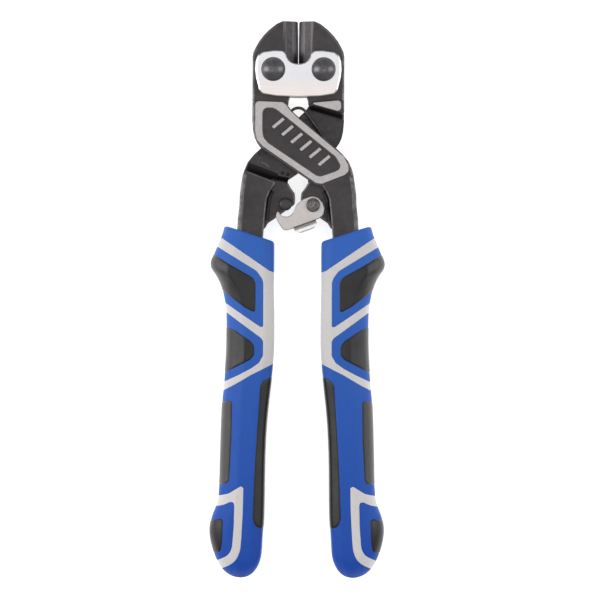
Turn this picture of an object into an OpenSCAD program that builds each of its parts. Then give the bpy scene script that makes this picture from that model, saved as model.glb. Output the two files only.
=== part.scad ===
// Compact bolt cutters with two crossing forged levers, chromed link plates,
// a hairpin return spring, a hook latch and co-moulded grips.
// The tool lies flat on its grips: +X is to the right, +Y towards the jaws,
// +Z up. Both levers are the same forging, one turned over about the Y axis.
// Stored closed, with the latch swung just clear of its stud.

/* [Levers] */
// Thickness of the handle arms and of the crossing, mm
arm_t = 12.4; // [11.6:0.2:13]
// Thickness of the jaws where the link plates lie on them, mm
head_t = 7.8; // [7:0.2:8.4]
// Thickness of the thin webs that carry the latch and its stud, mm
web_t = 5; // [4:0.2:5.6]
// Height of the ground border above the arm's face, mm
border_h = 0.3; // [0.2:0.1:0.5]
// Depth of the panel inside the ground border, mm
panel_d = 0.8; // [0.4:0.1:1.2]
// Depth of the spring pocket in each crossing face, mm
pocket_d = 1.8; // [1.8:0.1:2.2]

/* [Pivots] */
// Distance between the two pivot rivets, mm
pivot_gap = 18.6; // [18.4:0.1:18.8]
// Radius of the pivot rivets' shanks, mm
pivot_r = 3; // [2.6:0.1:3.2]
// Radius of the rivets' domed heads, mm
dome_r = 4.45; // [4.2:0.05:4.6]
// Height of the domed heads, mm
dome_h = 2.3; // [1.8:0.1:2.6]
// Thickness of each link plate, mm
plate_t = 2.4; // [2:0.1:2.6]

/* [Spring] */
// Thickness of the return spring's strip, mm
strip_t = 0.9; // [0.7:0.1:1.1]
// Width of the return spring's strip, mm
strip_w = 3; // [2:0.2:3.2]

/* [Latch] */
// Thickness of the latch plate, mm
latch_t = 1.9; // [1.6:0.1:2]
// Radius of the catch stud, mm
stud_r = 2.4; // [2.2:0.05:2.45]
// Radius of the latch rivet's shank, mm
latch_rivet_r = 1.9; // [1.6:0.1:2]
// How far the latch is stored swung clear of the stud, degrees
latch_clear = 12; // [12:1:20]

/* [Grips] */
// Thickness of the grips, mm
grip_t = 20; // [19:0.5:20]
// Thickness of the soft outer layer over the grips' cores, mm
skin_t = 1.5; // [1.2:0.1:1.8]
// Gap left between the steel tang and its socket, mm
socket_gap = 0.15; // [0.1:0.05:0.2]

/* [Hidden] */
$fn = 64;
e = 0.01;
mid = 10;                      // height of the plane where the levers cross
lap = 0.1;                     // half the gap between the crossing faces
fit = 0.05;                    // radial running clearance
px = pivot_gap / 2;
py = 85;
arm_h = arm_t / 2;
head_h = head_t / 2;
web_h = web_t / 2;
plate_gap = 0.1;
stud_at = [-4.6, 35.2];
latch_at = [5.6, 34.9];
latch_z = mid + web_h + 0.2;
gh = grip_t / 2;

// Outline of the left jaw down to its root, blade edge on the centre line.
JAW = [[-0.25, 102.9], [-5.9, 102.9], [-8.1, 101.9], [-10.9, 99.7], [-13, 97.5],
       [-14.6, 95.4], [-15.9, 93.1], [-16.7, 91.4], [-17, 89.7], [-17, 72.4],
       [-3.65, 72.4], [-3.55, 73.6], [-3.05, 75.1], [-1.6, 80], [-0.1, 85],
       [-0.1, 89.7]];
// The root's end, where the lever stops being full thickness.
ROOT = [[-17, 73.4], [-3.57, 73.4], [-3.65, 72.4], [-4.1, 71.4], [-17, 68.2]];
// The raised rear land behind the root.
LAND = [[-17, 73.9], [-5.6, 73], [-4.4, 71.5], [-17, 68.2]];
// The crossing part, front half only, from the root to the handle arm.
CROSS = [[-17, 73.3], [-5.5, 73], [-4.1, 72], [-3.4, 71], [-2.7, 69.9],
         [0.8, 66.65], [14.3, 55.65], [16.5, 53.6], [17.6, 52.4], [18.7, 50.9],
         [19.4, 49.4], [20, 47.9], [20.7, 45], [8.8, 42], [6.5, 42.4],
         [-13.1, 55.5], [-14.2, 56.4], [-15.3, 58], [-16.2, 60], [-16.7, 62.4],
         [-17, 66]];
// The handle arm, full thickness, with its tapering tang.
ARM = [[19.3, 47.5], [20.4, 46.5], [21.1, 42], [21.5, 39], [21.7, 34], [22.2, 30],
       [22.4, 26], [22, 12], [21.8, -10], [22.6, -70], [18.6, -70],
       [14.6, -10], [13.2, 12], [12.9, 23], [12.6, 27], [12.1, 32.5],
       [11.6, 37], [10.5, 39.7], [8.6, 42.6], [8.9, 43.6]];
// The web inside the arm's root.
WEB = [[4, 43.6], [2.5, 41], [1.2, 39.3], [1, 37.5], [1.2, 35.2], [8.2, 30.2],
       [11, 28.3], [12.4, 26], [15, 26], [15, 44.5], [9, 44.5]];
// The ground border and the sunk panel inside it.
BORDER = [[-15.9, 73.2], [-5.6, 72.8], [-4.3, 71.6], [-3, 69.7], [0.6, 66.35], [13.9, 55.35],
          [17, 52.7], [18.5, 49.6], [18.7, 47.3], [17.2, 46], [8.8, 42.7],
          [6.6, 43], [-12.8, 56.3], [-15.2, 58.8], [-15.9, 62.3]];
PANEL = [[-13.3, 69.4], [-12.2, 70.8], [-9.4, 70.8], [-7.9, 70.1], [14, 52.7],
         [15.7, 49.6], [15.4, 48.1], [13.6, 47.1], [8.2, 45.3], [6.6, 45.8],
         [-11.2, 57.7], [-12.9, 59.8], [-13.3, 62.3]];
// The room the spring's leg swings through, in the face of the other lever.
POCKET = [[-3, 60], [16, 52], [20, 62], [17, 66.6], [4.2, 70.4], [1, 72.5],
          [-3, 70]];

// One lever forging, before its web is drilled.
module forging() {
  translate([0, 0, mid]) difference() {
    union() {
      translate([0, 0, -head_h]) linear_extrude(head_t) polygon(JAW);
      translate([0, 0, -head_h]) linear_extrude(head_t) polygon(ROOT);
      translate([0, 0, -arm_h]) linear_extrude(arm_h) polygon(LAND);
      translate([0, 0, lap]) linear_extrude(arm_h - lap) polygon(CROSS);
      translate([0, 0, -arm_h]) linear_extrude(arm_t) polygon(ARM);
      translate([0, 0, -web_h]) linear_extrude(web_t) polygon(WEB);
      translate([0, 0, arm_h - e]) linear_extrude(border_h + e)
        polygon(BORDER);
      translate([0, 0, -arm_h - border_h]) linear_extrude(border_h + e)
        polygon([[-15.6, 73], [-5.6, 72.3], [-5.6, 71.9], [-15.6, 69.4]]);
    }
    // sunk panel
    translate([0, 0, arm_h + border_h - panel_d]) linear_extrude(panel_d + 1)
      polygon(PANEL);
    // ground bevels that leave the cutting edge
    for (s = [0, 1]) mirror([0, 0, s])
      translate([0, 110, 0]) rotate([90, 0, 0]) linear_extrude(22.5)
        polygon([[-4.4, head_h], [0.5, 0.5], [0.5, head_h + 1],
                 [-4.4, head_h + 1]]);
    // pivot bore
    translate([-px, py, -10]) cylinder(r = pivot_r + fit, h = 20);
    // spring pocket, in the face that meets the other lever
    mirror([1, 0, 0]) translate([0, 0, lap - 1])
      linear_extrude(pocket_d + 1 - lap) polygon(POCKET);
    // pocket for the end of this lever's own spring leg
    translate([0, 0, lap - 1]) linear_extrude(pocket_d + 1 - lap)
      polygon([[-2, 72], [6, 66], [15.5, 54.8], [14, 52.6], [11, 54], [-2, 66]]);
  }
}

// Raised slanted bars on the sunk panel.
module bars() {
  translate([0, 0, mid + arm_h + border_h - panel_d - e])
    for (i = [0:5])
      translate([-7.5 + i * 3.4, 65.2 - i * 2.75]) rotate([0, 0, -39])
        linear_extrude(0.4 + e)
          polygon([[-0.9, -2.6], [0.3, -2.6], [1.3, 2.6], [0.1, 2.6]]);
}

// Front lever: left jaw, front of the crossing, right handle arm.
module front_lever() {
  color([0.27, 0.26, 0.26]) difference() {
    union() {
      forging();
      bars();
    }
    translate([latch_at[0], latch_at[1], 0])
      cylinder(r = latch_rivet_r + fit, h = 20);
  }
}

// Rear lever: right jaw, rear of the crossing, left handle arm.
module rear_lever() {
  color([0.25, 0.24, 0.24]) difference() {
    translate([0, 0, 2 * mid]) rotate([0, 180, 0]) union() {
      forging();
      bars();
    }
    translate([stud_at[0], stud_at[1], 0]) cylinder(r = 1.65, h = 20);
  }
}

// Half of a link plate's outline, right of the centre line.
module half_plate() {
  polygon([[0, 74.8], [8, 75.1], [13.3, 75.95], [14.5, 77.6], [15.6, 82],
           [15.9, 85], [15.7, 88], [14.9, 90.2], [13.2, 91.3], [9, 91.9],
           [6, 91.8], [4.9, 91], [4.4, 89.6], [3.6, 88.3], [2.4, 87.4],
           [0, 86.9]]);
}

module link_plate() {
  difference() {
    linear_extrude(plate_t) offset(r = 0.6) offset(delta = -0.6) {
      half_plate();
      mirror([1, 0]) half_plate();
    }
    for (s = [-1, 1]) translate([s * px, py, -1])
      cylinder(r = pivot_r + fit, h = plate_t + 2);
  }
}

module front_link_plate() {
  color([0.88, 0.88, 0.89])
    translate([0, 0, mid + head_h + plate_gap]) link_plate();
}

module rear_link_plate() {
  color([0.84, 0.84, 0.85])
    translate([0, 0, mid - head_h - plate_gap - plate_t]) link_plate();
}

// Pivot rivet: a shank with a dome on each end.
module pivot_rivet() {
  top = head_h + plate_gap + plate_t;
  ball = (dome_r * dome_r + dome_h * dome_h) / (2 * dome_h);
  translate([0, 0, mid]) {
    translate([0, 0, -top]) cylinder(r = pivot_r, h = 2 * top);
    for (s = [0, 1]) mirror([0, 0, s]) intersection() {
      translate([0, 0, top + dome_h - ball]) sphere(r = ball);
      translate([0, 0, top]) cylinder(r = dome_r + 1, h = dome_h + 1);
    }
  }
}

module left_pivot_rivet() {
  color([0.42, 0.42, 0.43]) translate([-px, py, 0]) pivot_rivet();
}

module right_pivot_rivet() {
  color([0.42, 0.42, 0.44]) translate([px, py, 0]) pivot_rivet();
}

// Hairpin spring: a bow at the top and a leg down towards each handle.
module return_spring() {
  color([0.5, 0.5, 0.5])
    translate([0, 0, mid - strip_w / 2]) linear_extrude(strip_w)
      translate([0, 67.6]) {
        intersection() {
          difference() {
            circle(r = 3.65);
            circle(r = 3.65 - strip_t);
          }
          polygon([[0, 0], [9, 5.6], [9, 9], [-9, 9], [-9, 5.6]]);
        }
        for (s = [0, 1]) mirror([s, 0]) rotate([0, 0, 33])
          translate([3.65 - strip_t, -15.6]) square([strip_t, 15.7]);
      }
}

// The latch plate where it hooks the stud, before it is swung clear.
module latch_hooked() {
  translate([0, 0, latch_z]) difference() {
    union() {
      linear_extrude(latch_t) offset(r = 0.5) offset(delta = -0.5)
        polygon([[-8, 35.3], [-8.8, 33.6], [-8.3, 31.1], [-7.1, 28.3],
                 [-6, 27.7], [-3.3, 27.9], [1.5, 28.5], [4.8, 29.3],
                 [6.7, 29.5], [8.5, 30.4], [9.5, 32.6], [9.3, 35],
                 [8.1, 37.2], [5.9, 38.3], [2.8, 37.9], [0.4, 36.8],
                 [-0.8, 35.8], [-2.4, 33.4], [-4.6, 32.4], [-7, 33.4]]);
      // thumb tab, bent up out of the plate
      translate([-3.4, 28.2, 0]) rotate([0, 0, 9]) rotate([90, 0, 90])
        linear_extrude(9)
          polygon([[1.6, 0], [0, 0], [-2.4, 4.2], [-0.9, 5], [1, latch_t],
                   [1.6, latch_t]]);
    }
    translate([stud_at[0], stud_at[1], -1]) cylinder(r = 2.6, h = 10);
    translate([latch_at[0], latch_at[1], -1])
      cylinder(r = latch_rivet_r + fit, h = 10);
  }
}

module latch() {
  color([0.82, 0.81, 0.8]) translate([latch_at[0], latch_at[1], 0])
    rotate([0, 0, latch_clear]) translate([-latch_at[0], -latch_at[1], 0])
      latch_hooked();
}

// The latch's rivet, headed in front and behind the web.
module latch_rivet() {
  color([0.5, 0.49, 0.49]) translate([latch_at[0], latch_at[1], 0]) {
    translate([0, 0, mid - web_h - 0.9])
      cylinder(r = latch_rivet_r, h = latch_z + latch_t + 0.1 - mid + web_h + 1);
    translate([0, 0, mid - web_h - 0.9]) cylinder(r = 2.6, h = 0.85);
    translate([0, 0, latch_z + latch_t + 0.1]) cylinder(r = 2.55, h = 0.6);
    translate([0, 0, latch_z + latch_t + 0.7])
      cylinder(r1 = 2.55, r2 = 2, h = 0.35);
  }
}

// The stud that the latch hooks, pressed into the other web.
module catch_stud() {
  color([0.33, 0.32, 0.32]) translate([stud_at[0], stud_at[1], 0]) {
    translate([0, 0, mid - web_h]) cylinder(r = 1.6, h = web_t + 0.5);
    translate([0, 0, mid + web_h + e]) cylinder(r = stud_r, h = 2.5);
    translate([0, 0, mid + web_h + 2.5]) cylinder(r1 = stud_r, r2 = 1.7, h = 0.5);
  }
}

// Grip stations down the right grip: height along Y, inner X, outer X, inset
// of the front and back faces.
STATIONS = [[27.2, 8.7, 27.5, 2.4], [20.5, 8.7, 29.8, 1], [13.2, 8.7, 32.1, 0],
            [8.7, 8.7, 30, 0], [5.7, 8.8, 28.5, 0], [-0.2, 8.7, 27, 0],
            [-3.1, 8.5, 26.3, 0], [-17.9, 8.5, 26.3, 0],
            [-26.8, 9.2, 26.8, 0], [-38.7, 10.5, 27.7, 0],
            [-50.5, 11.5, 28.3, 0], [-68.3, 12, 28.7, 0],
            [-74.2, 12, 29.2, 0], [-80.1, 12.1, 31.3, 0],
            [-85.5, 12.5, 32.2, 0], [-91.9, 12.8, 31.1, 0],
            [-97.9, 13.7, 29, 1], [-100.8, 15.7, 26.3, 2.4],
            [-102.85, 18.4, 23.2, 4.4]];
CUT = [[40, 31], [26.8, 27], [21.8, 26.1], [12, 22.8], [9.8, 21.9], [8.5, 20],
       [7, 18], [7, -110], [40, -110]];

// Eight corners of the grip's section at one station, inset by o.
function ring(s, o) =
  let (a = s[1] + o, b = s[2] - o, h = gh - s[3] - o, c = 4.6 - 0.4 * o,
       d = min(4.6 - 0.4 * o, (b - a) / 2 - 0.3),
       y = s[0] + (s[0] < -100 ? o : 0))
  [for (p = [[a, -h + c], [a + d, -h], [b - d, -h], [b, -h + c], [b, h - c],
             [b - d, h], [a + d, h], [a, h - c]]) [p[0], y, mid + p[1]]];

// The whole grip as a run of convex lengths, inset by o all round.
module grip_body(o) {
  intersection() {
    union() for (i = [0:len(STATIONS) - 2]) hull()
      polyhedron(points = concat(ring(STATIONS[i], o), ring(STATIONS[i + 1], o)),
                 faces = [[for (k = [0:15]) k]]);
    linear_extrude(30) offset(delta = -o) polygon(CUT);
  }
}

// Socket for the steel tang.
module socket() {
  translate([0, 0, mid - arm_h - socket_gap])
    linear_extrude(arm_t + 2 * socket_gap) offset(delta = socket_gap)
      polygon(ARM);
}

// Patterns on the grip, seen from above, the same on both faces.
module grey_zones() {
  polygon([[36, 28], [28.4, 22.8], [10.4, 10.5], [8.9, 10], [7, 10], [7, -23.1],
           [9, -23.8], [17.1, -27.9], [23.4, -31.6], [26.9, -33.4],
           [36, -38], [36, -34.5], [26.5, -30.2], [21.6, -27.9],
           [17.2, -25.6], [14.1, -23.4], [12.6, -20.7], [12.6, -15.4],
           [13.4, -14.2], [25.5, -5.4], [36, 2.3], [36, 5],
           [26.2, -1.7], [13.7, -10.2], [12.6, -10.2], [12.6, 6.2],
           [13.1, 7.7], [15, 10.4], [29.7, 19.4], [36, 23.2]]);
  polygon([[36, -74], [28.6, -72.4], [25.2, -71.7], [22.5, -70], [20.7, -68.9],
           [19.7, -69.4], [19.9, -78.5], [20.4, -87.9], [20.8, -92.5],
           [22.1, -95.9], [24.3, -97.8], [27.3, -99.3], [36, -103],
           [36, -99.5], [29.6, -96.6], [25.1, -94.3], [23.8, -91.7],
           [23.2, -84.2], [23, -76.2], [23.2, -74.9], [24.4, -74.6],
           [27.1, -75.8], [29.7, -76.4], [36, -77.6]]);
}
module upper_zone() {
  polygon([[36, 19.7], [24.8, 12.7], [17.3, 8.5], [15.7, 7], [15.4, 5],
           [15.5, -4.5], [16.5, -4.6], [19.5, -3], [24.7, 0.8], [36, 9.5]]);
}
module middle_zone() {
  polygon([[36, -5.5], [25.8, -10.2], [22.8, -11.7], [17.2, -15.4],
           [15.8, -17.2], [15.8, -20.4], [17.2, -22.2], [20.9, -24.1],
           [24.6, -26], [36, -31]]);
}
module inner_zone() {
  polygon([[7, -27.6], [9.5, -28.7], [12.5, -30], [13.7, -32], [14, -37.9],
           [14.5, -45.7], [15.4, -59.6], [15.9, -70.9], [16.3, -80.4],
           [15.7, -82.7], [14.6, -84], [7, -86.4]]);
}
module outer_zone() {
  polygon([[36, -38.6], [27.2, -37.7], [24, -37.2], [24.2, -51.6],
           [24.8, -63.5], [25, -66.8], [26, -68.1], [36, -68.6]]);
}
module end_zone() {
  polygon([[36, -82.5], [31.4, -81.5], [28.2, -80.8], [27.2, -81.5],
           [27.5, -89.7], [28.1, -93.2], [30.2, -93.6], [36, -95]]);
}

// Hard grey core of the right grip, showing at the surface as the stripes.
module grip_core() {
  difference() {
    union() {
      grip_body(skin_t);
      intersection() {
        grip_body(0);
        linear_extrude(30) grey_zones();
      }
    }
    socket();
  }
}

// Blue layer over the core, around the stripes and the black pads.
module grip_sleeve() {
  difference() {
    grip_body(0);
    grip_body(skin_t);
    socket();
    translate([0, 0, -1]) linear_extrude(32) {
      grey_zones();
      upper_zone();
      middle_zone();
      inner_zone();
      outer_zone();
      end_zone();
    }
  }
}

// A soft pad over the core, the shape of the zone passed to it.
module pad() {
  difference() {
    intersection() {
      grip_body(0);
      linear_extrude(30) children();
    }
    grip_body(skin_t);
  }
}

module right_grip_core() { color([0.66, 0.68, 0.7]) grip_core(); }
module right_grip_sleeve() { color([0.16, 0.33, 0.72]) grip_sleeve(); }
module right_upper_pad() { color([0.1, 0.1, 0.11]) pad() upper_zone(); }
module right_middle_pad() { color([0.1, 0.1, 0.11]) pad() middle_zone(); }
module right_inner_strip() { color([0.1, 0.1, 0.11]) pad() inner_zone(); }
module right_outer_strip() { color([0.1, 0.1, 0.11]) pad() outer_zone(); }
module right_end_pad() { color([0.1, 0.1, 0.11]) pad() end_zone(); }
module left_grip_core() { color([0.66, 0.68, 0.7]) mirror([1, 0, 0]) grip_core(); }
module left_grip_sleeve() { color([0.16, 0.33, 0.72]) mirror([1, 0, 0]) grip_sleeve(); }
module left_upper_pad() { color([0.1, 0.1, 0.11]) mirror([1, 0, 0]) pad() upper_zone(); }
module left_middle_pad() { color([0.1, 0.1, 0.11]) mirror([1, 0, 0]) pad() middle_zone(); }
module left_inner_strip() { color([0.1, 0.1, 0.11]) mirror([1, 0, 0]) pad() inner_zone(); }
module left_outer_strip() { color([0.1, 0.1, 0.11]) mirror([1, 0, 0]) pad() outer_zone(); }
module left_end_pad() { color([0.1, 0.1, 0.11]) mirror([1, 0, 0]) pad() end_zone(); }

front_lever();
rear_lever();
front_link_plate();
rear_link_plate();
left_pivot_rivet();
right_pivot_rivet();
return_spring();
latch();
latch_rivet();
catch_stud();
right_grip_core();
right_grip_sleeve();
right_upper_pad();
right_middle_pad();
right_inner_strip();
right_outer_strip();
right_end_pad();
left_grip_core();
left_grip_sleeve();
left_upper_pad();
left_middle_pad();
left_inner_strip();
left_outer_strip();
left_end_pad();
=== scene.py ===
import math

import bmesh
import bpy
import numpy as np
from mathutils import Matrix, Vector

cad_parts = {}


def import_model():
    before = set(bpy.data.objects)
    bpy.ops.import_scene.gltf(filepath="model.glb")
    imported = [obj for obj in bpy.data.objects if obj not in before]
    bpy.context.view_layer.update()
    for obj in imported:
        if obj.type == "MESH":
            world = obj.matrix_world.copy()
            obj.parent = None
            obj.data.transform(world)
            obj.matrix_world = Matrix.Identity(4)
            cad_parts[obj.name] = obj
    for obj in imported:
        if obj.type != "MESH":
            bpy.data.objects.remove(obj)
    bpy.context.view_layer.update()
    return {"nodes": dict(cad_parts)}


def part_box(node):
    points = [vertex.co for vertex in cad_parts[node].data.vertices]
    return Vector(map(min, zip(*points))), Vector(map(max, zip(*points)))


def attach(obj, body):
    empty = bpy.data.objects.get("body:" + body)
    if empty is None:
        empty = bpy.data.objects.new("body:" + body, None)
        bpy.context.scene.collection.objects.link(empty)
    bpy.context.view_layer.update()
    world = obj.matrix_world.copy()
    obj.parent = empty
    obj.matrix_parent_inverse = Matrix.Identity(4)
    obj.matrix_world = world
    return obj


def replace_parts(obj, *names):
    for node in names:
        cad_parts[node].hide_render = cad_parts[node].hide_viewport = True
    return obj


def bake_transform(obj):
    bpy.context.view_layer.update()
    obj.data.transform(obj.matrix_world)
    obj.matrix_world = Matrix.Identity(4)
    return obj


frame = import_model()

MM = 0.001
NODES = frame["nodes"]


def centre(node):
    lo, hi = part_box(node)
    return (np.array(lo) + np.array(hi)) / 2 / MM


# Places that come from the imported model, in mm
MID = float(centre("left_pivot_rivet")[2])
PIVOT_L = centre("left_pivot_rivet")
PIVOT_R = centre("right_pivot_rivet")
PX = float(PIVOT_R[0] - PIVOT_L[0]) / 2
PY = float(PIVOT_L[1])
LATCH_AT = centre("latch_rivet")
STUD_AT = centre("catch_stud")
ARM_H = 6.2
HEAD_H = 3.9
WEB_H = 2.5
STORED = math.radians(12)          # the latch is stored swung clear by this much

# ---------------------------------------------------------------- outlines


def area2(p):
    x, y = p[:, 0], p[:, 1]
    return float(np.sum(x * np.roll(y, -1) - np.roll(x, -1) * y))


def ccw(p):
    p = np.array(p, float)
    return p if area2(p) > 0 else p[::-1].copy()


def arcs(poly, r=0.8, step=9.0):
    """Rounds every corner of a closed outline by a true arc of radius r, or of
    the radius in r for that corner, as far as the sides beside it allow."""
    poly = np.array(poly, float)
    n, out = len(poly), []
    for i in range(n):
        p0, p, p1 = poly[i - 1], poly[i], poly[(i + 1) % n]
        a, b = p0 - p, p1 - p
        la, lb = np.linalg.norm(a), np.linalg.norm(b)
        a, b = a / la, b / lb
        turn = math.pi - math.acos(max(-1, min(1, float(a @ b))))
        rad = r[i] if isinstance(r, (list, tuple)) else r
        d = min(rad * math.tan(turn / 2), 0.48 * la, 0.48 * lb)
        if turn < 0.03 or d < 0.01:
            out.append(p)
            continue
        q0, q1, w = p + a * d, p + b * d, math.cos(turn / 2)
        k = max(2, int(math.ceil(math.degrees(turn) / step)))
        for s in range(k + 1):
            t = s / k
            c0, c1, c2 = (1 - t) ** 2, 2 * t * (1 - t) * w, t * t
            out.append((c0 * q0 + c1 * p + c2 * q1) / (c0 + c1 + c2))
    out = np.array(out)
    keep = [i for i in range(len(out))
            if np.linalg.norm(out[i] - out[i - 1]) > 0.02]
    return ccw(out[keep])


def inward(poly):
    """For each corner of a counter-clockwise outline, the move that takes its
    two sides 1 mm inward, and the corner's own outward direction."""
    e = np.roll(poly, -1, 0) - poly
    e /= np.linalg.norm(e, axis=1)[:, None]
    nrm = np.stack([-e[:, 1], e[:, 0]], 1)
    before = np.roll(nrm, 1, 0)
    m = (nrm + before) / np.maximum(1 + np.sum(nrm * before, 1), 0.35)[:, None]
    out = -(nrm + before)
    return m, out / np.linalg.norm(out, axis=1)[:, None]


def prism_rings(poly, z0, z1, top=0.0, bottom=0.0, seg=3, chamfer="", slope=0.42):
    """Rings of points up a prism whose two rims are rounded, or chamfered if
    chamfer is "top" or "both". top and bottom are the rims' sizes, or functions
    of the outward direction and the place."""
    m, out = inward(poly)

    def sizes(v):
        if callable(v):
            return np.array([v(o, q) for o, q in zip(out, poly)])
        return np.full(len(poly), float(v))

    rt, rb = sizes(top), sizes(bottom)
    rings = []

    def ring(d, z):
        p = poly + m * d[:, None]
        rings.append(np.column_stack([p, np.broadcast_to(z, len(poly))]))

    if rb.max() > 0:
        for k in range(seg + 1):
            a = math.pi / 2 * k / seg
            if chamfer == "both":
                t = 1 - k / seg
                ring(rb * t, z0 + rb * slope * (1 - t))
            else:
                ring(rb * (1 - math.sin(a)), z0 + rb * (1 - math.cos(a)))
    else:
        ring(rb, z0)
    if rt.max() > 0:
        for k in range(seg + 1):
            a = math.pi / 2 * k / seg
            if chamfer:
                ring(rt * k / seg, z1 - rt * slope * (1 - (k / seg) ** (1.15 if chamfer == "top" else 1.0)))
            else:
                ring(rt * (1 - math.cos(a)), z1 - rt * (1 - math.sin(a)))
    else:
        ring(rt, z1)
    return rings


def rings_mesh(name, rings, cap0=True, cap1=True):
    n = len(rings[0])
    verts = np.concatenate(rings)
    faces = []
    for k in range(len(rings) - 1):
        a, b = k * n, (k + 1) * n
        for i in range(n):
            j = (i + 1) % n
            faces.append((a + i, a + j, b + j, b + i))
    if cap0:
        faces.append(tuple(range(n - 1, -1, -1)))
    if cap1:
        faces.append(tuple(range(len(verts) - n, len(verts))))
    return obj(name, verts, faces)


def obj(name, verts, faces, place=None):
    me = bpy.data.meshes.new(name)
    me.from_pydata([tuple(map(float, v)) for v in np.array(verts) * MM], [], faces)
    me.validate()
    ob = bpy.data.objects.new(name, me)
    bpy.context.scene.collection.objects.link(ob)
    if place is not None:
        ob.location = Vector(place) * MM
    return ob


def prism(name, poly, z0, z1, top=0.0, bottom=0.0, seg=3, chamfer="", slope=0.42):
    return rings_mesh(name, prism_rings(poly, z0, z1, top, bottom, seg, chamfer, slope))


def lathe(name, profile, n=72, at=(0, 0, 0), bump=None):
    """A closed turned shape: profile is (radius, z) from bottom axis to top axis."""
    verts, faces = [], []
    prof = [p for p in profile if p[0] > 1e-6]
    for r, z in prof:
        for i in range(n):
            t = 2 * math.pi * i / n
            dz = bump(r, t, z) if bump else 0.0
            verts.append((at[0] + r * math.cos(t), at[1] + r * math.sin(t), at[2] + z + dz))
    for k in range(len(prof) - 1):
        for i in range(n):
            j = (i + 1) % n
            faces.append((k * n + i, k * n + j, (k + 1) * n + j, (k + 1) * n + i))
    verts.append((at[0], at[1], at[2] + profile[0][1]))
    verts.append((at[0], at[1], at[2] + profile[-1][1] + (bump(0, 0, profile[-1][1]) if bump else 0)))
    b, t = len(verts) - 2, len(verts) - 1
    for i in range(n):
        j = (i + 1) % n
        faces.append((b, j, i))
        faces.append((t, (len(prof) - 1) * n + i, (len(prof) - 1) * n + j))
    return obj(name, verts, faces)


def evaluated(ob):
    dg = bpy.context.evaluated_depsgraph_get()
    dg.update()
    return bpy.data.meshes.new_from_object(ob.evaluated_get(dg), depsgraph=dg)


def boolean(a, b, op="UNION"):
    """Joins b to a, or cuts it away, and drops b."""
    bpy.context.view_layer.update()
    for solver in ("MANIFOLD", "EXACT"):
        m = a.modifiers.new("b", "BOOLEAN")
        m.object, m.operation, m.solver = b, op, solver
        me = evaluated(a)
        a.modifiers.clear()
        if len(me.polygons) > 3:
            break
        bpy.data.meshes.remove(me)
    old = a.data
    a.data = me
    bpy.data.meshes.remove(old)
    bpy.data.objects.remove(b)
    return a


def tidy(ob, angle=32.0, weighted=True, merge=0.004):
    """Merges doubles, marks hard edges by angle and gives the flats true normals."""
    bm = bmesh.new()
    bm.from_mesh(ob.data)
    bmesh.ops.remove_doubles(bm, verts=bm.verts, dist=merge * MM)
    bmesh.ops.dissolve_degenerate(bm, edges=bm.edges, dist=0.002 * MM)
    if weighted:
        bmesh.ops.dissolve_limit(bm, angle_limit=math.radians(0.4), verts=bm.verts,
                                 edges=bm.edges, delimit={"MATERIAL"})
    bmesh.ops.recalc_face_normals(bm, faces=bm.faces)
    limit = math.radians(angle)
    for f in bm.faces:
        f.smooth = True
    for e in bm.edges:
        e.smooth = len(e.link_faces) == 2 and e.calc_face_angle(0) < limit
    bm.to_mesh(ob.data)
    bm.free()
    if weighted:
        m = ob.modifiers.new("w", "WEIGHTED_NORMAL")
        m.keep_sharp, m.weight = True, 60
        me = evaluated(ob)
        ob.modifiers.clear()
        old = ob.data
        ob.data = me
        bpy.data.meshes.remove(old)
    return ob


def paint(ob, *mats, pick=None):
    ob.data.materials.clear()
    for m in mats:
        ob.data.materials.append(m)
    if pick:
        for p in ob.data.polygons:
            p.material_index = pick(p)
    return ob


# --------------------------------------------------------------- materials


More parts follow.
